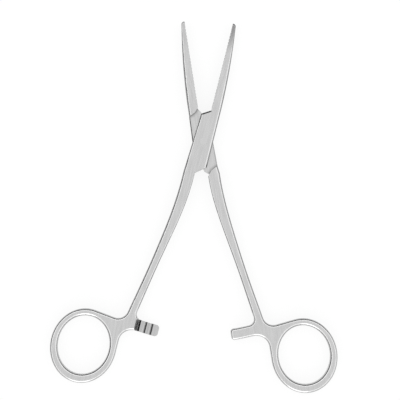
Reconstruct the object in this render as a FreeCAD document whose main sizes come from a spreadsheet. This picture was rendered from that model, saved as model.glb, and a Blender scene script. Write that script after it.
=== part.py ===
import FreeCAD, Part
import Sketcher
import math
import os

# Box-lock haemostatic forceps, about 160 mm long when closed, in millimetres.
# The instrument lies flat: its long axis is Y with the jaws towards +Y, X is its width, and Z points up,
# away from the surface that it lies on. The origin is on the pivot's axis, on the underside of the box lock.
# Each arm is modelled with the jaws closed, where its jaw face lies on the plane X = 0, and is then turned
# about the pivot by half of the opening. The two arms are mirror images apart from the lock and the ratchet.

# Names that end in _back are distances back from the end of the box lock, or from the end of the jaw.
SIZES = {
    # whole instrument
    "half_opening": 11.5,
    "box_thickness": 5.6,
    "ratchet_distance": 78.75,
    # box lock
    "box_half_length": 14.2,
    "box_outer_x": 4.0,
    "box_back_x": 3.45,
    "box_edge_radius": 1.2,
    "box_back_radius": 0.75,
    "plate_side_spare": 0.05,
    "plate_front_corner_back": 3.3,
    "plate_front_root_back": 1.0,
    "plate_rear_corner_back": 4.1,
    "plate_rear_root_back": 0.6,
    "plate_corner_radius": 1.0,
    "slot_mouth_y": 2.95,
    "slot_wall_run": 0.4,
    "slot_relief": 0.35,
    "neck_thickness": 1.9,
    "neck_clearance": 0.05,
    "neck_front_x": 4.5,
    "neck_rear_x": 3.95,
    "neck_back_x": 3.7,
    "neck_outer_y": 0.5,
    "neck_corner_y": 2.2,
    "neck_foot_x": 4.25,
    "neck_front_knee_x": 0.95,
    "neck_front_knee_back": 2.0,
    "neck_rear_knee_x": 1.55,
    "neck_rear_knee_back": 1.7,
    "neck_top_x": 0.35,
    "neck_top_back": 0.3,
    "neck_root_length": 0.8,
    "neck_root_inset": 0.5,
    "shoulder_outer_x": 4.2,
    "shoulder_back": 3.3,
    "shoulder_knee_x": 1.5,
    "shoulder_knee_back": 1.75,
    "shoulder_radius": 1.6,
    "shoulder_spare": 1.5,
    "side_clearance": 0.1,
    "pin_radius": 1.5,
    "pin_clearance": 0.04,
    # jaws
    "jaw_length": 36.3,
    "jaw_tip_width": 1.45,
    "jaw_tip_thickness": 1.9,
    "jaw_width_power": 1.88,
    "jaw_thickness_power": 1.15,
    "jaw_crown": 2.2,
    "jaw_tip_edge_radius": 0.55,
    "jaw_nose_length": 1.1,
    "jaw_nose_share": 0.92,
    "jaw_face_edge_radius": 0.15,
    "jaw_gap": 0.03,
    "serration_pitch": 1.35,
    "serration_depth": 0.3,
    "serration_start": 3.0,
    "serration_end_back": 1.8,
    # shanks
    "shank_offset": 2.4,
    "shank_slope": 0.18,
    "shank_bend_y": 27.0,
    "shank_bend_length": 8.0,
    "shank_end_gap": 4.0,
    "shank_root_width": 4.7,
    "through_root_width": 4.9,
    "through_root_inset": 0.35,
    "root_inset_power": 4,
    "shank_waist_width": 3.25,
    "shank_end_width": 3.6,
    "shank_waist_at": 0.75,
    "shank_waist_thickness": 3.8,
    "shank_inner_radius": 0.4,
    # finger rings and the web that joins them to the shanks
    "handle_thickness": 4.6,
    "handle_edge_radius": 1.15,
    "ring_x": 27.7,
    "ring_drop": 15.7,
    "ring_outer_half_width": 13.75,
    "ring_outer_half_length": 15.55,
    "hole_rise": 0.45,
    "hole_half_width": 10.7,
    "hole_half_length": 12.25,
    "hole_edge_radius": 1.3,
    "web_tangent_angle": 84.0,
    "web_outer_radius": 4.5,
    "web_inner_radius": 5.5,
    "web_ratchet_radius": 2.6,
    # ratchet bars
    "bar_width": 4.75,
    "bar_tip_x": 1.1,
    "bar_corner_radius": 1.3,
    "tooth_pitch": 2.62,
    "tooth_depth": 0.9,
    "tooth_crown_run": 1.2,
    "tooth_crown_drop": 0.2,
    "tooth_land": 2.65,
    "tooth_count": 3,
    "tooth_clearance": 0.05,
    "tooth_root_run": 2.2,
    "cut_spare": 1.0,
}

# Stations of the lofts, as shares of the length that each covers.
JAW_PLACES = (0, 0.16, 0.34, 0.52, 0.7, 0.88, 1)
NOSE_PLACES = (0, 0.6, 1)
SHANK_PLACES = (1, 0.88, 0.7, 0.5, 0.34, 0.18, 0)

document = FreeCAD.newDocument("hemostat")
sheet = document.addObject("Spreadsheet::Sheet", "sizes")
for row, (alias, number) in enumerate(SIZES.items(), start=1):
    sheet.set(f"A{row}", alias.replace("_", " "))
    sheet.set(f"B{row}", str(number))
    sheet.setAlias(f"B{row}", alias)
document.recompute()


def value(expression):
    """The number that an expression on the sheet's sizes has now."""
    result = sheet.evalExpression(expression)
    return float(getattr(result, "Value", result))


def size(alias):
    return f"sizes.{alias}"


def behind_box_end(alias):
    """A distance from the pivot that is counted back from the end of the box lock."""
    return f"({size('box_half_length')} - {size(alias)})"


MIDDLE = f"{size('box_thickness')} / 2"
NOSE_Y = f"({size('box_half_length')} + {size('jaw_length')} - {size('jaw_nose_length')})"
SHANK_END_Y = f"({size('ratchet_distance')} - {size('shank_end_gap')})"
BAR_OUTER_RADIUS = f"({size('ratchet_distance')} + {size('bar_width')})"
RING_Y = f"({size('ratchet_distance')} + {size('ring_drop')})"
HOLE_Y = f"({RING_Y} - {size('hole_rise')})"


def plane_of(body, role):
    return next(feature for feature in body.Origin.OriginFeatures if feature.Role == role)


def new_sketch(body, name, role, along_normal="0", along_x="0", turn=None):
    """A sketch on an origin plane of its body, moved along the normal and turned about its own upright."""
    sketch = body.newObject("Sketcher::SketchObject", name)
    sketch.AttachmentSupport = [(plane_of(body, role), "")]
    sketch.MapMode = "FlatFace"
    if turn:
        upright_turn = FreeCAD.Rotation(FreeCAD.Vector(0, 1, 0), 1)
        sketch.AttachmentOffset = FreeCAD.Placement(FreeCAD.Vector(), upright_turn)
        sketch.setExpression("AttachmentOffset.Rotation.Angle", turn)
    sketch.setExpression("AttachmentOffset.Base.x", along_x)
    sketch.setExpression("AttachmentOffset.Base.z", along_normal)
    return sketch


def bind(sketch, kind, *where, to):
    """A constraint whose value follows an expression."""
    index = sketch.addConstraint(Sketcher.Constraint(kind, *where, value(to)))
    sketch.setExpression(f"Constraints[{index}]", to)


def polygon(body, name, role, corners, along_normal="0", rounded=None, radius=None):
    """A closed outline of straight lines through (x, y) pairs of expressions; one corner may be rounded."""
    sketch = new_sketch(body, name, role, along_normal)
    points = [FreeCAD.Vector(value(x), value(y), 0) for x, y in corners]
    count = len(points)
    starts, ends = list(points), points[1:] + points[:1]
    if rounded is not None:
        corner = points[rounded]
        back = (points[rounded - 1] - corner).normalize()
        on = (points[(rounded + 1) % count] - corner).normalize()
        half_angle = back.getAngle(on) / 2
        reach = value(radius) / math.tan(half_angle)
        ends[rounded - 1], starts[rounded] = corner + back * reach, corner + on * reach
    for start, end in zip(starts, ends):
        sketch.addGeometry(Part.LineSegment(start, end), False)
    for line, (x, y) in enumerate(corners):
        if line != rounded:
            sketch.addConstraint(Sketcher.Constraint("Coincident", (line - 1) % count, 2, line, 1))
            bind(sketch, "DistanceX", -1, 1, line, 1, to=x)
            bind(sketch, "DistanceY", -1, 1, line, 1, to=y)
    if rounded is not None:
        centre = corner + (back + on).normalize() * (value(radius) / math.sin(half_angle))
        circle = Part.Circle(centre, FreeCAD.Vector(0, 0, 1), value(radius))
        left_turn = back.cross(on).z < 0
        first, last = (starts[rounded], ends[rounded - 1])[::-1 if left_turn else 1]
        angles = [math.atan2(place.y - centre.y, place.x - centre.x) for place in (first, last)]
        if angles[1] < angles[0]:
            angles[1] += 2 * math.pi
        arc = sketch.addGeometry(Part.ArcOfCircle(circle, *angles), False)
        before, after = (1, 2) if left_turn else (2, 1)
        sketch.addConstraint(Sketcher.Constraint("Tangent", (rounded - 1) % count, 2, arc, before))
        sketch.addConstraint(Sketcher.Constraint("Tangent", arc, after, rounded, 1))
        mark = sketch.addGeometry(Part.Point(corner), True)
        sketch.addConstraint(Sketcher.Constraint("PointOnObject", mark, 1, (rounded - 1) % count))
        sketch.addConstraint(Sketcher.Constraint("PointOnObject", mark, 1, rounded))
        bind(sketch, "DistanceX", -1, 1, mark, 1, to=corners[rounded][0])
        bind(sketch, "DistanceY", -1, 1, mark, 1, to=corners[rounded][1])
        bind(sketch, "Radius", arc, to=radius)
    return sketch


def rounded_section(body, name, side, near, far, thickness, near_radius, far_radius, y="0", x="0", turn=None):
    """A rounded rectangle across the arm at height y, from near to far in X; mirrored where side is -1."""
    low, high, low_radius, high_radius = near, far, near_radius, far_radius
    if side < 0:
        low, high, low_radius, high_radius = f"-({far})", f"-({near})", far_radius, near_radius
    bottom = f"{MIDDLE} - ({thickness}) / 2"
    top = f"{MIDDLE} + ({thickness}) / 2"
    sketch = new_sketch(body, name, "XZ_Plane", f"-({y})", x, turn)
    x0, x1, z0, z1 = value(low), value(high), value(bottom), value(top)
    r0, r1 = value(low_radius), value(high_radius)
    normal = FreeCAD.Vector(0, 0, 1)
    quarter = math.pi / 2
    sides = [
        ((x0 + r0, z0), (x1 - r1, z0), (x1 - r1, z0 + r1), r1, 3),
        ((x1, z0 + r1), (x1, z1 - r1), (x1 - r1, z1 - r1), r1, 0),
        ((x1 - r1, z1), (x0 + r0, z1), (x0 + r0, z1 - r0), r0, 1),
        ((x0, z1 - r0), (x0, z0 + r0), (x0 + r0, z0 + r0), r0, 2),
    ]
    for start, end, centre, radius, turns in sides:
        sketch.addGeometry(Part.LineSegment(FreeCAD.Vector(*start, 0), FreeCAD.Vector(*end, 0)), False)
        circle = Part.Circle(FreeCAD.Vector(*centre, 0), normal, radius)
        sketch.addGeometry(Part.ArcOfCircle(circle, turns * quarter, (turns + 1) * quarter), False)
    for line in (0, 2, 4, 6):
        sketch.addConstraint(Sketcher.Constraint("Tangent", line, 2, line + 1, 1))
        sketch.addConstraint(Sketcher.Constraint("Tangent", line + 1, 2, (line + 2) % 8, 1))
        sketch.addConstraint(Sketcher.Constraint("Horizontal" if line in (0, 4) else "Vertical", line))
    bind(sketch, "DistanceY", -1, 1, 0, 1, to=bottom)
    bind(sketch, "DistanceX", -1, 1, 2, 1, to=high)
    bind(sketch, "DistanceY", -1, 1, 4, 1, to=top)
    bind(sketch, "DistanceX", -1, 1, 6, 1, to=low)
    for arc, radius in ((1, high_radius), (3, high_radius), (5, low_radius), (7, low_radius)):
        bind(sketch, "Radius", arc, to=radius)
    return sketch


def ellipse(body, name, centre_x, centre_y, half_width, half_length, along_normal):
    """An upright oval."""
    sketch = new_sketch(body, name, "XY_Plane", along_normal)
    x, y, a, b = value(centre_x), value(centre_y), value(half_width), value(half_length)
    centre = FreeCAD.Vector(x, y, 0)
    sketch.addGeometry(Part.Ellipse(FreeCAD.Vector(x, y + b, 0), FreeCAD.Vector(x + a, y, 0), centre), False)
    sketch.exposeInternalGeometry(0)
    bind(sketch, "DistanceX", -1, 1, 0, 3, to=centre_x)
    bind(sketch, "DistanceY", -1, 1, 0, 3, to=centre_y)
    sketch.addConstraint(Sketcher.Constraint("Vertical", 1))
    bind(sketch, "Distance", 1, 1, 1, 2, to=f"2 * {half_length}")
    bind(sketch, "Distance", 2, 1, 2, 2, to=f"2 * {half_width}")
    return sketch


def circle_sketch(body, name, radius, along_normal):
    """A circle about the pivot."""
    sketch = new_sketch(body, name, "XY_Plane", along_normal)
    sketch.addGeometry(Part.Circle(FreeCAD.Vector(0, 0, 0), FreeCAD.Vector(0, 0, 1), value(radius)), False)
    sketch.addConstraint(Sketcher.Constraint("Coincident", 0, 3, -1, 1))
    bind(sketch, "Radius", 0, to=radius)
    return sketch


def loft(body, name, sections, ruled=False):
    feature = body.newObject("PartDesign::AdditiveLoft", name)
    feature.Profile = sections[0]
    feature.Sections = sections[1:]
    feature.Ruled = ruled
    document.recompute()
    return feature


def extrude(body, kind, name, sketch, length):
    """A Pad along its sketch's normal, or a Pocket against it."""
    feature = body.newObject(f"PartDesign::{kind}", name)
    feature.Profile = sketch
    feature.setExpression("Length", length)
    document.recompute()
    return feature


def fillet(body, name, radius, wanted):
    """Rounds the edges of the body so far for which wanted(edge) is true."""
    base = body.Tip
    edges = [f"Edge{number}" for number, edge in enumerate(base.Shape.Edges, start=1) if wanted(edge)]
    feature = body.newObject("PartDesign::Fillet", name)
    feature.Base = (base, edges)
    feature.setExpression("Radius", radius)
    document.recompute()
    return feature


def upright_at(x, y, reach=0.3):
    """Tells whether an edge stands parallel to Z near the point x, y."""
    def test(edge):
        low, high = edge.BoundBox.ZMin, edge.BoundBox.ZMax
        centre = edge.BoundBox.Center
        flat = edge.BoundBox.XLength + edge.BoundBox.YLength
        return high - low > 1 and flat < 0.01 and math.hypot(centre.x - x, centre.y - y) < reach
    return test


def ease(position):
    """A cosine step, from 1 at position 0 to 0 at position 1."""
    return f"((1 + cos({position} * 180 deg)) / 2)"


def root_outer_x(side):
    """How far the arm's outer side lies from the plane X = 0 where the jaw leaves the box lock."""
    return size("box_outer_x") if side > 0 else size("shoulder_outer_x")


def jaw_section(body, side, place):
    """The jaw's section at a fraction of its length from the box lock (0) to its rounded nose (1)."""
    root, tip = size("box_half_length"), NOSE_Y
    width_left = f"(1 - {place} ^ {size('jaw_width_power')})"
    depth_left = f"(1 - {place} ^ {size('jaw_thickness_power')})"
    width = f"{size('jaw_tip_width')} + ({root_outer_x(side)} - {size('jaw_tip_width')}) * {width_left}"
    thin = size("jaw_tip_thickness")
    thickness = f"{thin} + ({size('box_thickness')} - {thin}) * {depth_left}"
    back = f"({size('box_edge_radius')} + {size('jaw_crown')} * {place} * (1 - {place})) * (1 - {place})"
    edge = f"{back} + {size('jaw_tip_edge_radius')} * {place}"
    y = f"{root} + ({tip} - {root}) * {place}"
    return rounded_section(body, f"jaw_section_{round(100 * place)}", side, size("jaw_gap"), width, thickness,
                           size("jaw_face_edge_radius"), edge, y)


def nose_section(body, side, place):
    """The jaw's rounded nose at a fraction of its own length; it shrinks as an oval does."""
    left = f"sqrt(1 - ({size('jaw_nose_share')} * {place}) ^ 2)"
    width = f"{size('jaw_gap')} + ({size('jaw_tip_width')} - {size('jaw_gap')}) * {left}"
    thickness = f"{size('jaw_tip_thickness')} * {left}"
    face_radius = f"{size('jaw_face_edge_radius')} * {left}"
    edge_radius = f"{size('jaw_tip_edge_radius')} * {left}"
    y = f"{NOSE_Y} + {size('jaw_nose_length')} * {place}"
    return rounded_section(body, f"nose_section_{round(100 * place)}", side, size("jaw_gap"), width,
                           thickness, face_radius, edge_radius, y)


def shank_centre(y):
    """How far the shank's middle line lies from the plane X = 0 at a distance y behind the pivot."""
    beyond = f"({y} - {size('shank_bend_y')})"
    return (f"{size('shank_offset')} + {size('shank_slope')} / 2 * "
            f"({beyond} + sqrt({beyond} ^ 2 + {size('shank_bend_length')} ^ 2))")


BEYOND_BEND = f"({SHANK_END_Y} - {size('shank_bend_y')})"
SHANK_END_X = shank_centre(SHANK_END_Y)
SHANK_END_TILT = (f"atan({size('shank_slope')} / 2 * "
                  f"(1 + {BEYOND_BEND} / sqrt({BEYOND_BEND} ^ 2 + {size('shank_bend_length')} ^ 2)))")


def shank_root(side):
    """The shank's width at the box lock, and how far it is set in towards the other arm there."""
    if side > 0:
        return size("shank_root_width"), "0"
    return size("through_root_width"), size("through_root_inset")


def shank_section(body, side, place):
    """The shank's section at a fraction of its length from the box lock (0) to the handle (1)."""
    name = f"shank_section_{round(100 * place)}"
    last = size("handle_edge_radius")
    if place == 1:
        half = f"{size('shank_end_width')} / 2"
        x, turn = f"-({side}) * ({SHANK_END_X})", f"-({side}) * {SHANK_END_TILT}"
        return rounded_section(body, name, side, f"-{half}", half, size("handle_thickness"), last, last,
                               f"-{SHANK_END_Y}", x, turn)
    y = f"({size('box_half_length')} + ({SHANK_END_Y} - {size('box_half_length')}) * {place})"
    waist = size("shank_waist_at")
    root_width, inset = shank_root(side)
    before = place <= value(waist)
    part = ease(f"({place} / {waist})") if before else ease(f"((1 - {place}) / (1 - {waist}))")
    wide = root_width if before else size("shank_end_width")
    thick = size("box_thickness") if before else size("handle_thickness")
    width = f"({size('shank_waist_width')} + ({wide} - {size('shank_waist_width')}) * {part})"
    thin = size("shank_waist_thickness")
    thickness = f"{thin} + ({thick} - {thin}) * {part}"
    outer = f"{size('box_edge_radius')} + ({last} - {size('box_edge_radius')}) * {place}"
    inner = f"{size('shank_inner_radius')} + ({last} - {size('shank_inner_radius')}) * {place}"
    centre = f"({shank_centre(y)} - {inset if before else '0'} * {part} ^ {size('root_inset_power')})"
    near, far = f"-{centre} - {width} / 2", f"-{centre} + {width} / 2"
    return rounded_section(body, name, side, near, far, thickness, outer, inner, f"-{y}")


def mirrored(side, points):
    """The same corners for the arm on the other side."""
    return [(f"({side}) * ({x})", y) for x, y in points]


def turned(points):
    """The same corners after half a turn about the pivot."""
    return [(f"-({x})", f"-({y})") for x, y in points]


def handle_sketch(body, side):
    """The outline of finger ring, web and ratchet bar, ending square across the shank."""
    sketch = new_sketch(body, "handle_outline", "XY_Plane", f"{MIDDLE} - {size('handle_thickness')} / 2")
    angle = f"({size('web_tangent_angle')} * 1 deg)"
    a, b = value(size("ring_outer_half_width")), value(size("ring_outer_half_length"))
    ring_x, ring_y = value(size("ring_x")), value(RING_Y)
    tangent = math.radians(value(size("web_tangent_angle")))
    inner, outer, tip = value(size("ratchet_distance")), value(BAR_OUTER_RADIUS), value(size("bar_tip_x"))
    end_x, end_y, tilt = value(SHANK_END_X), value(SHANK_END_Y), math.radians(value(SHANK_END_TILT))
    half = value(size("shank_end_width")) / 2
    along, across = (-math.sin(tilt), -math.cos(tilt)), (math.cos(tilt), -math.sin(tilt))

    def point(x, y):
        return FreeCAD.Vector(side * x, y, 0)

    def on_bar(x, radius):
        return point(x, -math.sqrt(radius ** 2 - x ** 2))

    side_x = a - ring_x
    outer_corner = (-end_x - half * across[0], -end_y - half * across[1])
    inner_corner = (-end_x + half * across[0], -end_y + half * across[1])
    drop = inner - end_y
    web_start = point(-ring_x + a * math.cos(tangent), -ring_y + b * math.sin(tangent))
    web_corner = point(outer_corner[0] + drop * along[0], outer_corner[1] + drop * along[1])
    bar_corner = point(inner_corner[0] + drop * along[0], inner_corner[1] + drop * along[1])
    ring_side, bar_start = point(side_x, -ring_y), on_bar(side_x, outer)
    tip_low, tip_high = on_bar(tip, outer), on_bar(tip, inner)
    shank_outer, shank_inner = point(*outer_corner), point(*inner_corner)

    oval = Part.Ellipse(point(-ring_x, b - ring_y), FreeCAD.Vector(-side * ring_x - a, -ring_y, 0),
                        point(-ring_x, -ring_y))
    upright = FreeCAD.Vector(0, 0, 1)
    circles = [Part.Circle(FreeCAD.Vector(0, 0, 0), upright, radius) for radius in (outer, inner)]

    def bar_arc(circle, start, end):
        angles = sorted(math.atan2(place.y, place.x) for place in (start, end))
        return Part.ArcOfCircle(circle, *angles)

    quarter = math.pi / 2
    span = (tangent - quarter, 3 * quarter) if side > 0 else (quarter, 5 * quarter - tangent)
    sketch.addGeometry([
        Part.ArcOfEllipse(oval, *span),
        Part.LineSegment(ring_side, bar_start),
        bar_arc(circles[0], bar_start, tip_low),
        Part.LineSegment(tip_low, tip_high),
        bar_arc(circles[1], tip_high, bar_corner),
        Part.LineSegment(bar_corner, shank_inner),
        Part.LineSegment(shank_inner, shank_outer),
        Part.LineSegment(shank_outer, web_corner),
        Part.LineSegment(web_corner, web_start),
    ], False)
    sketch.exposeInternalGeometry(0)
    first, last = (1, 2) if side > 0 else (2, 1)
    joins = [(0, last, 1, 1), (1, 2, 2, first), (2, last, 3, 1), (3, 2, 4, last), (4, first, 5, 1),
             (5, 2, 6, 1), (6, 2, 7, 1), (7, 2, 8, 1)]
    for join in joins:
        sketch.addConstraint(Sketcher.Constraint("Coincident", *join))
    sketch.addConstraint(Sketcher.Constraint("Tangent", 8, 2, 0, first))
    sketch.addConstraint(Sketcher.Constraint("Vertical", 1))
    sketch.addConstraint(Sketcher.Constraint("Vertical", 3))
    sketch.addConstraint(Sketcher.Constraint("Perpendicular", 5, 6))
    sketch.addConstraint(Sketcher.Constraint("Perpendicular", 7, 6))
    sketch.addConstraint(Sketcher.Constraint("Vertical", 9))
    bind(sketch, "DistanceX", -1, 1, 0, 3, to=f"-({side}) * {size('ring_x')}")
    bind(sketch, "DistanceY", -1, 1, 0, 3, to=f"-{RING_Y}")
    bind(sketch, "Distance", 9, 1, 9, 2, to=f"2 * {size('ring_outer_half_length')}")
    bind(sketch, "Distance", 10, 1, 10, 2, to=f"2 * {size('ring_outer_half_width')}")
    bind(sketch, "DistanceX", -1, 1, 8, 2,
         to=f"-({side}) * ({size('ring_x')} - {size('ring_outer_half_width')} * cos{angle})")
    bind(sketch, "DistanceY", -1, 1, 1, 1, to=f"-{RING_Y}")
    for arc, radius in ((2, BAR_OUTER_RADIUS), (4, size("ratchet_distance"))):
        sketch.addConstraint(Sketcher.Constraint("Coincident", arc, 3, -1, 1))
        bind(sketch, "Radius", arc, to=radius)
    bind(sketch, "DistanceX", -1, 1, 3, 1, to=f"({side}) * {size('bar_tip_x')}")
    half_width = f"{size('shank_end_width')} / 2"
    for line, sign in ((6, 1), (7, -1)):
        bind(sketch, "DistanceX", -1, 1, line, 1,
             to=f"({side}) * ({sign} * {half_width} * cos({SHANK_END_TILT}) - ({SHANK_END_X}))")
        bind(sketch, "DistanceY", -1, 1, line, 1,
             to=f"-{SHANK_END_Y} - {sign} * {half_width} * sin({SHANK_END_TILT})")
    document.recompute()
    return sketch


def handle(body, side):
    """Finger ring, web and ratchet bar as one forging with rounded edges."""
    sketch = handle_sketch(body, side)
    extrude(body, "Pad", "handle_blank", sketch, size("handle_thickness"))
    lines = sketch.Geometry
    corners = [("web_outer_corner", lines[7].EndPoint, "web_outer_radius"),
               ("web_inner_corner", lines[1].EndPoint, "web_inner_radius"),
               ("web_ratchet_corner", lines[5].StartPoint, "web_ratchet_radius"),
               ("bar_outer_corner", lines[3].StartPoint, "bar_corner_radius"),
               ("bar_inner_corner", lines[3].EndPoint, "bar_corner_radius")]
    for name, corner, radius in corners:
        fillet(body, name, size(radius), upright_at(corner.x, corner.y))
    end = (lines[6].StartPoint + lines[6].EndPoint) / 2
    top = value(f"{MIDDLE} + {size('handle_thickness')} / 2")
    bottom = value(f"{MIDDLE} - {size('handle_thickness')} / 2")

    def lies_flat(edge):
        box = edge.BoundBox
        return box.ZLength < 1e-6 and min(abs(box.ZMin - top), abs(box.ZMin - bottom)) < 1e-6

    def outline(edge):
        centre = edge.BoundBox.Center
        return lies_flat(edge) and math.hypot(centre.x - end.x, centre.y - end.y) > 0.5

    fillet(body, "handle_edges", size("handle_edge_radius"), outline)
    handle_top = f"{MIDDLE} + {size('handle_thickness')} / 2"
    hole = ellipse(body, "finger_hole", f"-({side}) * {size('ring_x')}", f"-{HOLE_Y}",
                   size("hole_half_width"), size("hole_half_length"), handle_top)
    extrude(body, "Pocket", "finger_hole_cut", hole, size("handle_thickness"))

    def hole_edge(edge):
        closed = len(edge.Vertexes) == 1
        return lies_flat(edge) and closed

    fillet(body, "finger_hole_edges", size("hole_edge_radius"), hole_edge)


def ratchet_teeth(body, side, upward):
    """Cuts the bar to half depth and its end into teeth; upward is 1 for teeth that face up, -1 for down.
    Each tooth has an upright wall towards the bar's tip and a crowned back, here two slopes, away from it."""
    crest = f"{MIDDLE} - ({upward}) * {size('tooth_clearance')}"
    crown = f"{MIDDLE} - ({upward}) * ({size('tooth_clearance')} + {size('tooth_crown_drop')})"
    valley = f"{MIDDLE} - ({upward}) * ({size('tooth_clearance')} + {size('tooth_depth')})"
    beyond = f"{MIDDLE} + ({upward}) * {size('box_thickness')}"
    face = f"{MIDDLE} + ({upward}) * {size('handle_thickness')} / 2"
    past_tip = f"{size('bar_tip_x')} + {size('cut_spare')}"
    step = f"({size('bar_tip_x')} - {size('tooth_land')})"
    count = int(value(size("tooth_count")))
    walls = [f"{step} - {tooth} * {size('tooth_pitch')}" for tooth in range(count)]
    corners = [(past_tip, crest), (step, crest), (step, valley)]
    for wall in walls[1:]:
        corners += [(f"{wall} + {size('tooth_crown_run')}", crown), (wall, crest), (wall, valley)]
    root = f"{walls[-1]} - {size('tooth_root_run')}"
    corners += [(root, face), (root, beyond), (past_tip, beyond)]
    behind = f"({BAR_OUTER_RADIUS} + {size('cut_spare')})"
    profile = polygon(body, "tooth_profile", "XZ_Plane", mirrored(side, corners), behind)
    extrude(body, "Pocket", "tooth_cut", profile,
            f"{behind} - {size('ratchet_distance')} + {size('web_ratchet_radius')} / 2")


def serrations(body, side, phase):
    """Cross grooves along the flat of the jaw; phase shifts them by that share of their pitch."""
    depth, pitch = size("serration_depth"), size("serration_pitch")
    y = f"({size('box_half_length')} + {size('serration_start')} + {phase} * {pitch})"
    corners = [(f"{size('jaw_gap')} + {depth}", y), (f"{size('jaw_gap')} - {depth}", f"{y} + 2 * {depth}"),
               (f"{size('jaw_gap')} - {depth}", f"{y} - 2 * {depth}")]
    groove = polygon(body, "groove", "XY_Plane", mirrored(side, corners), size("box_thickness"))
    cut = extrude(body, "Pocket", "groove_cut", groove, size("box_thickness"))
    pattern = body.newObject("PartDesign::LinearPattern", "grooves")
    pattern.Originals = [cut]
    pattern.Direction = (plane_of(body, "Y_Axis"), [""])
    pattern.Mode = "Spacing"
    pattern.setExpression("Offset", pitch)
    run = f"{size('jaw_length')} - {size('serration_start')} - {size('serration_end_back')}"
    pattern.setExpression("Occurrences", f"floor(({run}) / {pitch})")
    body.Tip = pattern
    document.recompute()


def arm(name, side):
    """The forging that both arms share: handle, shank and jaw."""
    body = document.addObject("PartDesign::Body", name)
    body.Label = name
    handle(body, side)
    loft(body, "shank", [shank_section(body, side, place) for place in SHANK_PLACES])
    return body


def jaw(body, side):
    loft(body, "jaw", [jaw_section(body, side, place) for place in JAW_PLACES])
    loft(body, "nose", [nose_section(body, side, place) for place in NOSE_PLACES])


def end_cut(body, name, corners, radius):
    """Cuts away what lies inside the outline, whose second corner is rounded, through the whole thickness."""
    profile = polygon(body, name + "_outline", "XY_Plane", corners, f"2 * {size('box_thickness')}", 1, radius)
    extrude(body, "Pocket", name, profile, f"3 * {size('box_thickness')}")


def pin_hole(body, radius):
    hole = circle_sketch(body, "pin_hole", radius, size("box_thickness"))
    extrude(body, "Pocket", "pin_hole_cut", hole, size("box_thickness"))


def box_arm():
    """The female arm: two plates with a slot between them, joined to the jaw and to the shank."""
    side = 1
    body = arm("box_arm", side)
    root, thick, edge = size("box_half_length"), size("box_thickness"), size("box_edge_radius")
    shank_inner = f"({shank_centre(root)} - {size('shank_root_width')} / 2)"
    shank_outer = f"({shank_centre(root)} + {size('shank_root_width')} / 2)"
    loft(body, "box", [
        rounded_section(body, "box_front", side, f"-{size('box_back_x')}", size("box_outer_x"), thick,
                        size("box_back_radius"), edge, root),
        rounded_section(body, "box_rear", side, f"-{shank_outer}", size("box_outer_x"), thick,
                        edge, edge, f"-{root}"),
    ], ruled=True)
    jaw(body, side)

    back_x = size("box_back_x")
    corner_y = {end: behind_box_end(f"plate_{end}_corner_back") for end in ("front", "rear")}
    front_x = f"({back_x} + ({shank_outer} - {back_x}) * ({root} - {corner_y['front']}) / (2 * {root}))"
    past_end = f"({root} + {size('cut_spare')})"
    radius = size("plate_corner_radius")
    ends = [("front", size("jaw_gap"), front_x), ("rear", shank_inner, size("box_outer_x"))]
    for end, inner, side_x in ends:
        along = f"({side_x} + {size('plate_side_spare')})"
        past_side = f"({side_x} + {size('cut_spare')})"
        root_y = behind_box_end(f"plate_{end}_root_back")
        corners = [(along, f"-({corner_y[end]} - 2 * {radius})"), (along, f"-{corner_y[end]}"),
                   (f"-{inner}", f"-{root_y}"), (f"-{inner}", f"-{past_end}"), (past_side, f"-{past_end}"),
                   (past_side, f"-({corner_y[end]} - 2 * {radius})")]
        end_cut(body, f"plate_{end}_end", turned(corners) if end == "front" else corners, radius)

    clear_x, clear_y = f"({size('neck_back_x')} + {size('side_clearance')})", size("slot_mouth_y")
    far_x, run = f"2 * {clear_x}", size("slot_wall_run")

    def slot_wall(end):
        """The slot's side along the neck, from beside the pin to past the neck's knee, and its open mouth."""
        knee_x = f"({size(f'neck_{end}_knee_x')} + {size('side_clearance')})"
        knee_y = behind_box_end(f"neck_{end}_knee_back")
        wall_x = f"({knee_x} + {run} * ({knee_x} - {clear_x}))"
        wall_y = f"({knee_y} + {run} * ({knee_y} - {clear_y}))"
        return [(clear_x, clear_y), (wall_x, wall_y), (f"-{far_x}", wall_y), (f"-{far_x}", f"-{clear_y}")]

    slot = f"({size('neck_thickness')} + 2 * {size('neck_clearance')})"
    outline = polygon(body, "slot_outline", "XY_Plane", slot_wall("front") + turned(slot_wall("rear")),
                      f"{MIDDLE} + {slot} / 2")
    extrude(body, "Pocket", "slot", outline, slot)
    relief = circle_sketch(body, "relief_outline", f"{size('neck_front_x')} + {size('slot_relief')}",
                           f"{MIDDLE} + {slot} / 2")
    extrude(body, "Pocket", "slot_relief", relief, slot)
    pin_hole(body, size("pin_radius"))
    ratchet_teeth(body, side, 1)
    serrations(body, side, 0)
    return body


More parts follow.
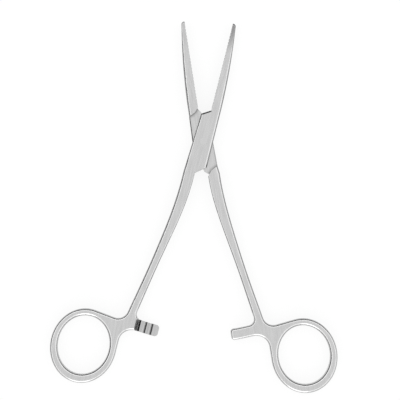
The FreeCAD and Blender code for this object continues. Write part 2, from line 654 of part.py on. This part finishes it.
def through_arm():
    """The male arm: a thin neck between two shoulders passes through the box."""
    side = -1
    body = arm("through_arm", side)
    root, thick, edge = size("box_half_length"), size("box_thickness"), size("box_edge_radius")
    gap, face_edge, inner_edge = size("jaw_gap"), size("jaw_face_edge_radius"), size("shank_inner_radius")
    root_width, inset = shank_root(side)
    centre, half_width = f"({shank_centre(root)} - {inset})", f"{root_width} / 2"
    outer, foot_y = root_outer_x(side), behind_box_end("shoulder_back")
    shoulder = f"({foot_y} - {size('shoulder_spare')})"
    jaw(body, side)
    loft(body, "jaw_shoulder", [
        rounded_section(body, "jaw_shoulder_front", side, gap, outer, thick, face_edge, edge, root),
        rounded_section(body, "jaw_shoulder_rear", side, gap, outer, thick, face_edge, edge, shoulder),
    ], ruled=True)
    shank_inner, shank_outer = f"-{centre} + {half_width}", f"-{centre} - {half_width}"
    loft(body, "shank_shoulder", [
        rounded_section(body, "shank_shoulder_front", side, f"-{size('box_outer_x')}", shank_inner, thick,
                        edge, inner_edge, f"-{shoulder}"),
        rounded_section(body, "shank_shoulder_rear", side, shank_outer, shank_inner, thick,
                        edge, inner_edge, f"-{root}"),
    ], ruled=True)

    knee = (size("shoulder_knee_x"), behind_box_end("shoulder_knee_back"))
    top = (size("neck_top_x"), behind_box_end("neck_top_back"))
    foot = (size("neck_foot_x"), foot_y)
    past_side, past_face = f"2 * {foot[0]} - {knee[0]}", f"2 * {top[0]} - {knee[0]}"
    below = f"{shoulder} - {size('cut_spare')}"
    curve = [(past_side, f"2 * {foot[1]} - {knee[1]}"), knee, top, (past_face, f"2 * {top[1]} - {knee[1]}"),
             (past_face, below), (past_side, below)]
    end_cut(body, "jaw_shoulder_cut", mirrored(side, curve), size("shoulder_radius"))
    end_cut(body, "shank_shoulder_cut", mirrored(side, turned(curve)), size("shoulder_radius"))

    inside = f"{root} + {size('neck_root_length')}"
    root_side = (f"{foot[0]} - {size('neck_root_inset')}", inside)

    def neck_half(end):
        """The neck's outline from its outer side round one end to its back corner beside the pin."""
        return [(size(f"neck_{end}_x"), size("neck_outer_y")), foot, root_side, (top[0], inside), top,
                (f"-{size(f'neck_{end}_knee_x')}", behind_box_end(f"neck_{end}_knee_back")),
                (f"-{size('neck_back_x')}", size("neck_corner_y"))]

    outlines = neck_half("front") + turned(neck_half("rear"))
    outline = polygon(body, "neck_outline", "XY_Plane", mirrored(side, outlines),
                      f"{MIDDLE} - {size('neck_thickness')} / 2")
    extrude(body, "Pad", "neck", outline, size("neck_thickness"))
    pin_hole(body, f"{size('pin_radius')} + {size('pin_clearance')}")
    ratchet_teeth(body, side, -1)
    serrations(body, side, 0.5)
    return body


def pivot_pin():
    """The rivet, ground flush with both plates."""
    pin = document.addObject("Part::Cylinder", "pivot_pin")
    pin.Label = "pivot_pin"
    pin.setExpression("Radius", size("pin_radius"))
    pin.setExpression("Height", size("box_thickness"))
    return pin


pieces = {"box_arm": box_arm(), "through_arm": through_arm(), "pivot_pin": pivot_pin()}
for name, direction in (("box_arm", -1), ("through_arm", 1)):
    pieces[name].Placement = FreeCAD.Placement(FreeCAD.Vector(), FreeCAD.Rotation(FreeCAD.Vector(0, 0, 1), 1))
    pieces[name].setExpression("Placement.Rotation.Angle", f"{direction} * {size('half_opening')}")
document.recompute()

for item in document.Objects:
    if {"Invalid", "Error"} & set(item.State):
        raise RuntimeError(f"{item.Name} failed: {item.State}")
for name, piece in pieces.items():
    if piece.Shape.isNull() or not piece.Shape.isValid():
        raise RuntimeError(f"{name} has no valid shape")

os.makedirs("parts", exist_ok=True)
for name, piece in pieces.items():
    piece.Shape.exportStep(f"parts/{piece.Label}.step")
    print(name, len(piece.Shape.Solids), round(piece.Shape.Volume, 1), piece.Shape.BoundBox)
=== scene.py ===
import math

import bpy
from bpy.props import FloatProperty, FloatVectorProperty, PointerProperty
from mathutils import Matrix, Vector


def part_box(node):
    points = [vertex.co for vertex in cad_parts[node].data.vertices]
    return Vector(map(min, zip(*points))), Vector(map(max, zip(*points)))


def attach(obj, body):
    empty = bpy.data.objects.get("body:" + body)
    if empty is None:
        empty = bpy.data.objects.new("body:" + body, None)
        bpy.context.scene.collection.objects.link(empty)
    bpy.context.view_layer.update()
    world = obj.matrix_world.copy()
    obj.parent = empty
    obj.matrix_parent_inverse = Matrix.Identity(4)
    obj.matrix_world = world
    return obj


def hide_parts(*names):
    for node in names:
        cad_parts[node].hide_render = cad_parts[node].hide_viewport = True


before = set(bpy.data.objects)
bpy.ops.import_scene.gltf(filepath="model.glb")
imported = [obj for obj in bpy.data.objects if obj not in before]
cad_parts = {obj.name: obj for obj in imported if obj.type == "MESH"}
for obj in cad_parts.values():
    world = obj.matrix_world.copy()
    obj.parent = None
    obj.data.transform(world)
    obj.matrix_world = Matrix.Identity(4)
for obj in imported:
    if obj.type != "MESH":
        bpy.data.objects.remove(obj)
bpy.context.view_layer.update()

bl_info = {
    "name": "Box-Lock Forceps",
    "version": (1, 0, 0),
    "blender": (4, 5, 0),
    "location": "3D View > Sidebar > Forceps",
    "description": "Finishes the forgings of a haemostatic forceps in satin steel, on a pale floor",
    "category": "Object",
}

MM = 0.001

# The shape. x and y start at the pivot, and z at the underside of the box.
HALF_OPENING = math.radians(11.5)  # each arm is turned by this about the pivot, away from closed
BOX_MIDDLE = 2.8  # half the height of the box, in millimetres
# Edges to break, in millimetres: the two ends in the plan, the height, and the width of the break.
PLATE_END_EDGES = (((-2.3, 11.1), (2.66, 12.93), 5.6, 0.6), ((2.3, -10.52), (-2.96, -13.28), 5.6, 0.3))
NECK_EDGES = (((-6.31, 9.7), (-4.47, -0.4), 3.75, 0.4), ((6.31, -9.7), (3.97, 0.3), 3.75, 0.5))
BREAK_SLOPE = math.radians(38)  # how far a broken edge's face leans from level
CUTTER_THICKNESS = 1.5 * MM  # of the block that cuts it, of which only one face counts
MERGE_DISTANCE = 0.002 * MM  # corners of neighbouring CAD faces that are nearer than this become one
SMOOTH_ANGLE = math.radians(28)  # edges sharper than this stay crisp

# The finish and the painted shade. Each pair is the span over which something sets in, from none to all of
# it.
HAIRLINE_COLOUR = (0.35, 0.65)  # the height of a hairline's noise: from the streak to the face colour
HAIRLINE_GRAIN = (0.3, 0.7)  # the same height: from the smoothest to the roughest
GRAIN = 0.04  # what the hairlines add to the roughness at most, or take from it
HAIRLINE_DEPTH = 0.02 * MM
BROAD_FACE = (0.45, 0.86)  # the upright part of a face's normal: from a side, which gets painted shade, to a broad face, which gets none
HANDLE_SIDE_LIFT = 0.8  # how much of the painted side shade the handles' sides lose, towards the colour of the broad faces
RATCHET_SIDEWAYS = (27 * MM, 25.5 * MM)  # the ratchet bars lie this near to the middle line
RATCHET_BEHIND = (-69 * MM, -71 * MM)  # and this far behind the pivot
VALLEY_SIDES = (-0.05 * MM, 0.8 * MM)  # painted shade sets in below the ratchet's crests, as a depth from the middle of the box
VALLEY_FLOORS = (1.0 * MM, 1.6 * MM)  # and past the valleys between them, where the painted shade ends
CORNER_REACH = 1.5 * MM  # how far around a spot the faces count that make it a corner
CORNER_OPENNESS = (0.95, 0.45)  # the share of its surroundings that such a spot sees
CORNER_SHADE = 0.75  # the most painted shade that a corner gets
JAW_TIP = (34 * MM, 49 * MM)  # in front of the pivot, from where a jaw's tip begins to get painted shade, to its end

# The room, the floor and the camera.
PAPER_GLOW = 0.88  # the share of the paper's white that is its own light
FLOOR_GAP = 0.02 * MM  # keeps the paper out of the plane of the lowest faces
DARK_DIRECTION = (-0.5, 0.86, 0)  # the dark corner, beyond the forceps' upper left
DARK_SPREAD = (-0.75, 0.7)  # the cosine of the angle to that direction
# How bright the room is, as (height, level) stops from the horizon (0) to the zenith (1).
WINDOW_SIDE = ((0.0, 0.6), (0.22, 0.75), (0.4, 1.6), (0.7, 1.55), (0.9, 1.0), (1.0, 1.0))
DARK_CORNER = ((0.0, 0.02), (0.45, 0.03), (0.6, 1.8), (0.75, 1.7), (0.92, 1.0), (1.0, 1.0))
CAMERA_TARGET = (-0.275, -24.378, BOX_MIDDLE)  # what lies in the middle of the picture, in millimetres
SENSOR_WIDTH = 36.0  # in millimetres, as Blender counts it


def linear(hex_colour):
    """An sRGB hex colour as linear RGBA."""
    channels = [int(hex_colour[i:i + 2], 16) / 255 for i in (1, 3, 5)]
    return [c / 12.92 if c <= 0.04045 else ((c + 0.055) / 1.055) ** 2.4 for c in channels] + [1.0]


def colour_property(name, description, hex_colour):
    """A colour setting, whose default is given in sRGB."""
    return FloatVectorProperty(name=name, description=description, subtype="COLOR", size=4, min=0, max=1,
                               default=linear(hex_colour))


def size_property(name, description, millimetres):
    """A length setting, whose default is given in millimetres."""
    return FloatProperty(name=name, description=description, unit="LENGTH", default=millimetres * MM)


class ForcepsSteelSettings(bpy.types.PropertyGroup):
    """The finish of the forgings and of the rivet, and the shade painted on the forgings."""

    face_colour: colour_property("Face colour", "Brushed stainless steel on the broad faces", "#CECECE")
    streak_colour: colour_property("Streak colour", "Darker hairlines of the brushing", "#C4C4C4")
    # painted shade: the sides are darker than the broad faces, standing for the darker reflections there
    side_shade_colour: colour_property("Side shade colour", "Painted shade on the sides", "#7A7A7A")
    # painted shade in the ratchet's valleys, in corners and on the jaws' tips
    painted_shade_colour: colour_property(
        "Painted shade colour", "Painted shade in the ratchet's valleys, in corners and on the jaws' tips", "#6A6A6A")
    rivet_colour: colour_property("Rivet colour", "Steel of the rivet's ground end", "#CACACA")
    brush_roughness: FloatProperty(
        name="Brushed roughness", description="Roughness of the broad faces", default=0.25, subtype="FACTOR")
    polish_roughness: FloatProperty(
        name="Polished roughness", description="Roughness of the rings", default=0.2, subtype="FACTOR")
    # Real brushing is too fine to show at this distance, so the hairlines are as coarse as they need to show.
    streak_width: size_property("Streak width", "Distance between hairlines", 0.5)
    streak_length: size_property("Streak length", "Length of a hairline", 9.0)
    polish_start: size_property("Polish start", "Where the handles' polish begins, behind the pivot", 55.0)
    polish_full: size_property("Polish end", "Where the handles are fully polished, behind the pivot", 85.0)


class ForcepsStageSettings(bpy.types.PropertyGroup):
    """Floor, light and camera."""

    floor_colour: colour_property("Floor colour", "White studio paper", "#F7F7F7")
    floor_size: size_property("Floor size", "Side of the square of paper", 4000.0)
    camera_distance: size_property("Camera distance", "Height of the camera above the forceps", 900.0)
    frame_width: size_property("Frame width", "Width of what the camera sees at the forceps", 166.36)
    camera_tilt: FloatProperty(
        name="Camera roll", description="How far the picture is turned", subtype="ANGLE",
        default=math.radians(2.6))


def add_node(tree, kind, settings=None, **inputs):
    """Adds a shader node. An input is a value or another node's output; _0 is the first input by place."""
    node = tree.nodes.new("ShaderNode" + kind)
    for key, setting in (settings or {}).items():
        setattr(node, key, setting)
    for key, given in inputs.items():
        socket = node.inputs[int(key[1:])] if key[0] == "_" else node.inputs[key.replace("_", " ")]
        if isinstance(given, bpy.types.NodeSocket):
            tree.links.new(given, socket)
        else:
            socket.default_value = given
    return node


def calculate(tree, operation, *terms, clamp=False):
    """The result of a Math node. Each term is a value or another node's output."""
    inputs = {f"_{place}": term for place, term in enumerate(terms)}
    return add_node(tree, "Math", {"operation": operation, "use_clamp": clamp}, **inputs).outputs[0]


def map_range(tree, value, span, result=(0.0, 1.0), smooth=False):
    """A value mapped from its span to that of the result, and held at the ends."""
    settings = {"interpolation_type": "SMOOTHSTEP" if smooth else "LINEAR"}
    return add_node(tree, "MapRange", settings, _0=value, _1=span[0], _2=span[1],
                    _3=result[0], _4=result[1]).outputs[0]


def mix_colours(tree, share, first, second):
    """The first colour, of which a share gives way to the second."""
    return add_node(tree, "Mix", {"data_type": "RGBA"}, _0=share, _6=first, _7=second).outputs[2]


def new_material(name):
    """A material without nodes, and its node tree."""
    material = bpy.data.materials.new(name)
    material.use_nodes = True
    material.node_tree.nodes.clear()
    return material, material.node_tree


def finish_material(tree, shader):
    """Makes a shader node the one that a material shows."""
    add_node(tree, "OutputMaterial", Surface=shader.outputs[0])


def ratchet_area(tree, spot):
    """1 around the ratchet bars and 0 elsewhere."""
    sideways = calculate(tree, "ABSOLUTE", spot.outputs["X"])
    beside = map_range(tree, sideways, RATCHET_SIDEWAYS)
    behind = map_range(tree, spot.outputs["Y"], RATCHET_BEHIND)
    return calculate(tree, "MULTIPLY", beside, behind)


def painted_shade_share(tree, spot, ratchet, tooth_side, tip_shade):
    """The share of painted shade in the ratchet's valleys, in corners and on the jaw's tip."""
    # painted shade in the ratchet's valleys, from below the crests to past the floors
    sides, floors = ([BOX_MIDDLE * MM - tooth_side * depth for depth in depths]
                     for depths in (VALLEY_SIDES, VALLEY_FLOORS))
    below_crests = map_range(tree, spot.outputs["Z"], sides)
    past_floors = map_range(tree, spot.outputs["Z"], floors)
    valleys = calculate(tree, "SUBTRACT", below_crests, past_floors, clamp=True)
    valleys = calculate(tree, "MULTIPLY", valleys, ratchet)
    # painted shade in corners, darker where the surroundings close in
    openness = add_node(tree, "AmbientOcclusion", {"samples": 8, "only_local": True}, Distance=CORNER_REACH)
    corners = map_range(tree, openness.outputs["AO"], CORNER_OPENNESS, (0.0, CORNER_SHADE))
    # painted shade on the jaw's tip
    tip = map_range(tree, spot.outputs["Y"], JAW_TIP, (0.0, tip_shade), smooth=True)
    return calculate(tree, "MAXIMUM", calculate(tree, "MAXIMUM", valleys, corners), tip)


def satin_steel(name, settings, turn, tooth_side, tip_shade):
    """Martensitic stainless steel, blasted and then brushed along the arm: soft grey faces with fine
    hairlines, painted shade on the sides, handles that are polished smoother by use and carry less of that
    painted shade, and painted shade in the ratchet's valleys, in corners and on the jaws' tips.

    turn is the arm's own angle in the plan, tooth_side is 1 where the ratchet's crests face up and -1 where
    they face down, and the last argument is the most painted shade on the jaw's tip."""
    material, tree = new_material(name)
    place = add_node(tree, "TexCoord").outputs["Object"]
    across, along = settings.streak_width, settings.streak_length
    brush_place = add_node(tree, "Mapping", {"vector_type": "TEXTURE"}, Vector=place,
                           Rotation=(0, 0, turn), Scale=(across, along, across))
    hairlines = add_node(tree, "TexNoise", Vector=brush_place.outputs[0], Scale=1.0, Detail=3.0,
                         Roughness=0.6).outputs[0]
    streaks = map_range(tree, hairlines, HAIRLINE_COLOUR)
    face = mix_colours(tree, streaks, settings.streak_colour, settings.face_colour)

    # painted shade on the sides, weaker on the handles and none on the ratchet
    normal = add_node(tree, "SeparateXYZ", _0=add_node(tree, "NewGeometry").outputs["Normal"])
    upright = calculate(tree, "ABSOLUTE", normal.outputs["Z"])
    broad = map_range(tree, upright, BROAD_FACE, smooth=True)
    spot = add_node(tree, "SeparateXYZ", _0=place)
    handle = map_range(tree, spot.outputs["Y"], (-settings.polish_start, -settings.polish_full), smooth=True)
    handle_side_lift = calculate(tree, "MULTIPLY", handle, HANDLE_SIDE_LIFT)
    ratchet = ratchet_area(tree, spot)
    unshaded = calculate(tree, "MAXIMUM", calculate(tree, "MAXIMUM", broad, handle_side_lift), ratchet)
    steel = mix_colours(tree, unshaded, settings.side_shade_colour, face)
    # painted shade in the ratchet's valleys, in corners and on the jaw's tip
    scale = painted_shade_share(tree, spot, ratchet, tooth_side, tip_shade)
    colour = mix_colours(tree, scale, steel, settings.painted_shade_colour)

    polish = map_range(tree, handle, (0.0, 1.0), (settings.brush_roughness, settings.polish_roughness))
    grain = map_range(tree, hairlines, HAIRLINE_GRAIN, (-GRAIN, GRAIN))
    roughness = calculate(tree, "ADD", polish, grain)
    bump = add_node(tree, "Bump", Strength=0.06, Distance=HAIRLINE_DEPTH, Height=hairlines)
    shader = add_node(tree, "BsdfPrincipled", Base_Color=colour, Metallic=1.0, Roughness=roughness,
                      Normal=bump.outputs[0])
    finish_material(tree, shader)
    return material


def rivet_steel(settings):
    """Stainless rivet wire, its end ground flush: the same grey, with faint rings from the grinding wheel."""
    material, tree = new_material("ground_rivet_steel")
    place = add_node(tree, "TexCoord").outputs["Object"]
    ring_place = add_node(tree, "Mapping", {"vector_type": "TEXTURE"}, Vector=place, Scale=(MM, MM, MM))
    rings = add_node(tree, "TexWave", {"wave_type": "RINGS", "rings_direction": "Z"},
                     Vector=ring_place.outputs[0], Scale=0.8, Distortion=1.5, Detail=2.0).outputs["Fac"]
    colour = mix_colours(tree, rings, settings.face_colour, settings.rivet_colour)
    roughness = map_range(tree, rings, (0.0, 1.0), (0.24, 0.26))
    shader = add_node(tree, "BsdfPrincipled", Base_Color=colour, Metallic=1.0, Roughness=roughness)
    finish_material(tree, shader)
    return material


def only(piece):
    """Makes a piece the one selected and active object."""
    bpy.ops.object.select_all(action="DESELECT")
    piece.select_set(True)
    bpy.context.view_layer.objects.active = piece


def break_edge(piece, start, end, level, up, width):
    """Cuts a small sloping face along a sharp edge, on the side away from the pivot, as tumbling and use
    break it. up is 1 for an edge of the upper side and -1 for one of the lower side."""
    start, end = Vector((*start, level)) * MM, Vector((*end, level)) * MM
    along = (end - start).normalized()
    out = along.cross(Vector((0, 0, 1)))
    if out.dot(start + end) < 0:
        out.negate()
    normal = Vector((0, 0, up)) * math.cos(BREAK_SLOPE) + out * math.sin(BREAK_SLOPE)
    turn = Matrix((along, normal.cross(along), normal)).transposed()
    bpy.ops.object.select_all(action="DESELECT")
    bpy.ops.mesh.primitive_cube_add(
        size=1.0, location=(start + end) / 2 - out * width * MM + normal * CUTTER_THICKNESS / 2,
        rotation=turn.to_euler(), scale=((end - start).length, 2 * CUTTER_THICKNESS, CUTTER_THICKNESS))
    cutter = bpy.context.object
    only(piece)
    modifier = piece.modifiers.new("edge_break", "BOOLEAN")
    modifier.operation = "DIFFERENCE"
    modifier.solver = "EXACT"
    modifier.object = cutter
    bpy.ops.object.modifier_apply(modifier=modifier.name)
    bpy.data.objects.remove(cutter)


def forging(name, node, body, material, edges=()):
    """A smooth-shaded copy of a solid, which stands for it and moves with its body. Each of its edges to
    break is given by its ends in the plan, its height and the width of the break, in millimetres, and is
    broken on the lower side as well."""
    piece = bpy.data.objects.new(name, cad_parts[node].data.copy())
    bpy.context.scene.collection.objects.link(piece)
    only(piece)
    bpy.ops.mesh.customdata_custom_splitnormals_clear()
    bpy.ops.object.mode_set(mode="EDIT")
    bpy.ops.mesh.select_all(action="SELECT")
    bpy.ops.mesh.remove_doubles(threshold=MERGE_DISTANCE)
    bpy.ops.object.mode_set(mode="OBJECT")
    for start, end, level, width in edges:
        break_edge(piece, start, end, level, 1, width)
        break_edge(piece, start, end, 2 * BOX_MIDDLE - level, -1, width)
    bpy.ops.object.shade_smooth_by_angle(angle=SMOOTH_ANGLE)
    modifier = piece.modifiers.new("face_normals", "WEIGHTED_NORMAL")
    modifier.keep_sharp = True
    bpy.ops.object.modifier_apply(modifier=modifier.name)
    piece.data.materials.clear()
    piece.data.materials.append(material)
    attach(piece, body)
    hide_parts(node)


class FORCEPS_OT_box_arm(bpy.types.Operator):
    """Finish the female arm: right jaw, slotted box, shank and left ring."""

    bl_idname = "forceps.box_arm"
    bl_label = "Box Arm"

    def execute(self, context):
        # the jaw's tip gets up to 0.65 painted shade
        steel = satin_steel("brushed_box_arm_steel", context.scene.forceps_steel, turn=-HALF_OPENING,
                            tooth_side=1, tip_shade=0.65)
        forging("female_arm", "box_arm", "box_half", steel, PLATE_END_EDGES)
        return {"FINISHED"}


class FORCEPS_OT_through_arm(bpy.types.Operator):
    """Finish the male arm: left jaw, the neck that passes through the box, shank and right ring."""

    bl_idname = "forceps.through_arm"
    bl_label = "Through Arm"

    def execute(self, context):
        # the jaw's tip gets up to 0.15 painted shade
        steel = satin_steel("brushed_through_arm_steel", context.scene.forceps_steel, turn=HALF_OPENING,
                            tooth_side=-1, tip_shade=0.15)
        forging("male_arm", "through_arm", "through_half", steel, NECK_EDGES)
        return {"FINISHED"}


class FORCEPS_OT_rivet(bpy.types.Operator):
    """Finish the rivet that is ground flush with the box."""

    bl_idname = "forceps.rivet"
    bl_label = "Rivet"

    def execute(self, context):
        forging("box_rivet", "pivot_pin", "box_half", rivet_steel(context.scene.forceps_steel))
        return {"FINISHED"}


def paper(settings):
    """Matt white studio paper, with the faint cloudiness of its fibres. Most of its white is its own light,
    as of a paper lit from below, so that the background is white and the shadow on it faint. The camera and
    the steel's reflections see that light, and it falls on nothing else."""
    material, tree = new_material("matt_studio_paper")
    place = add_node(tree, "TexCoord").outputs["Object"]
    fibres = add_node(tree, "TexNoise", Vector=place, Scale=60.0, Detail=4.0)
    shade = map_range(tree, fibres.outputs[0], (0.0, 1.0), (0.985, 1.0))
    colour = add_node(tree, "VectorMath", {"operation": "SCALE"}, _0=settings.floor_colour[:3], Scale=shade)
    matt = add_node(tree, "BsdfPrincipled", Base_Color=colour.outputs[0], Roughness=0.9)
    glow = add_node(tree, "Emission", Color=(1, 1, 1, 1), Strength=1.0)
    rays = add_node(tree, "LightPath").outputs
    seen = calculate(tree, "MAXIMUM", rays["Is Camera Ray"], rays["Is Glossy Ray"])
    seen = calculate(tree, "MAXIMUM", seen, rays["Is Transmission Ray"])
    share = calculate(tree, "MULTIPLY", seen, PAPER_GLOW)
    shader = add_node(tree, "MixShader", _0=share, _1=matt.outputs[0], _2=glow.outputs[0])
    finish_material(tree, shader)
    return material


def grey_ramp(tree, height, stops):
    """How bright the room is at a height, by (height, level) stops."""
    ramp = add_node(tree, "ValToRGB", _0=height)
    elements = ramp.color_ramp.elements
    for _ in stops[2:]:  # a new ramp has two stops already
        elements.new(0.5)
    for element, (position, level) in zip(elements, stops):
        element.position = position
        element.color = (level, level, level, 1.0)
    return ramp.outputs[0]


def studio_world():
    """A soft room: grey ceiling, bright walls, and a dark corner beyond the forceps' upper left that rises
    high over the floor, opposite the window."""
    world = bpy.data.worlds.new("studio_room")
    world.use_nodes = True
    tree = world.node_tree
    tree.nodes.clear()
    direction = add_node(tree, "TexCoord").outputs["Generated"]
    height = add_node(tree, "SeparateXYZ", _0=direction).outputs["Z"]
    level = add_node(tree, "VectorMath", {"operation": "MULTIPLY"}, _0=direction, _1=(1, 1, 0))
    compass = add_node(tree, "VectorMath", {"operation": "NORMALIZE"}, _0=level.outputs[0])
    towards_dark = add_node(tree, "VectorMath", {"operation": "DOT_PRODUCT"}, _0=compass.outputs[0],
                            _1=DARK_DIRECTION)
    darkness = map_range(tree, towards_dark.outputs["Value"], DARK_SPREAD, smooth=True)
    window = grey_ramp(tree, height, WINDOW_SIDE)
    dark = grey_ramp(tree, height, DARK_CORNER)
    light = mix_colours(tree, darkness, window, dark)
    background = add_node(tree, "Background", Color=light, Strength=1.0)
    add_node(tree, "OutputWorld", Surface=background.outputs[0])
    return world


def soft_lamp(name, place, target, side, radiance):
    """A square soft box at a place, turned to its target, with the brightness of its face given."""
    bpy.ops.object.light_add(type="AREA", location=place)
    lamp = bpy.context.object
    lamp.name = name
    lamp.data.shape = "SQUARE"
    lamp.data.size = side
    lamp.data.energy = radiance * math.pi * side ** 2
    lamp.rotation_euler = (Vector(target) - Vector(place)).to_track_quat("-Z", "Y").to_euler()


class FORCEPS_OT_stage(bpy.types.Operator):
    """Lay the paper floor, light it softly and set the camera straight above."""

    bl_idname = "forceps.stage"
    bl_label = "Stage"

    def execute(self, context):
        settings = context.scene.forceps_stage
        bpy.ops.object.select_all(action="DESELECT")
        floor_height = min(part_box(node)[0].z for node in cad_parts) - FLOOR_GAP
        bpy.ops.mesh.primitive_plane_add(size=settings.floor_size, location=(0, 0, floor_height))
        floor = context.object
        floor.name = "paper_floor"
        floor.data.materials.append(paper(settings))
        context.scene.world = studio_world()
        soft_lamp("window_soft_box", place=(-0.1, -0.9, 0.35), target=(0, -0.02, 0), side=0.6,
                  radiance=1.3)

        above = Vector((0, 0, settings.camera_distance))
        bpy.ops.object.camera_add(location=Vector(CAMERA_TARGET) * MM + above,
                                  rotation=(0, 0, settings.camera_tilt))
        camera = context.object
        camera.name = "overhead_camera"
        camera.data.sensor_width = SENSOR_WIDTH
        camera.data.lens = SENSOR_WIDTH * settings.camera_distance / settings.frame_width
        camera.data.clip_start, camera.data.clip_end = 0.05, 20.0
        context.scene.camera = camera
        context.scene.view_settings.view_transform = "Standard"
        return {"FINISHED"}


class FORCEPS_PT_panel(bpy.types.Panel):
    """Settings and steps of the forceps."""

    bl_idname = "FORCEPS_PT_panel"
    bl_label = "Forceps"
    bl_space_type = "VIEW_3D"
    bl_region_type = "UI"
    bl_category = "Forceps"

    def draw(self, context):
        for settings in (context.scene.forceps_steel, context.scene.forceps_stage):
            for name in settings.__annotations__:
                self.layout.prop(settings, name)
        for step in STEPS:
            self.layout.operator(step.bl_idname)


STEPS = (FORCEPS_OT_box_arm, FORCEPS_OT_through_arm, FORCEPS_OT_rivet, FORCEPS_OT_stage)
CLASSES = (ForcepsSteelSettings, ForcepsStageSettings, *STEPS, FORCEPS_PT_panel)


def register():
    for cls in CLASSES:
        bpy.utils.register_class(cls)
    bpy.types.Scene.forceps_steel = PointerProperty(type=ForcepsSteelSettings)
    bpy.types.Scene.forceps_stage = PointerProperty(type=ForcepsStageSettings)


def unregister():
    del bpy.types.Scene.forceps_stage
    del bpy.types.Scene.forceps_steel
    for cls in reversed(CLASSES):
        bpy.utils.unregister_class(cls)


def main():
    register()
    bpy.ops.forceps.box_arm()
    bpy.ops.forceps.through_arm()
    bpy.ops.forceps.rivet()
    bpy.ops.forceps.stage()


if __name__ == "__main__":
    main()
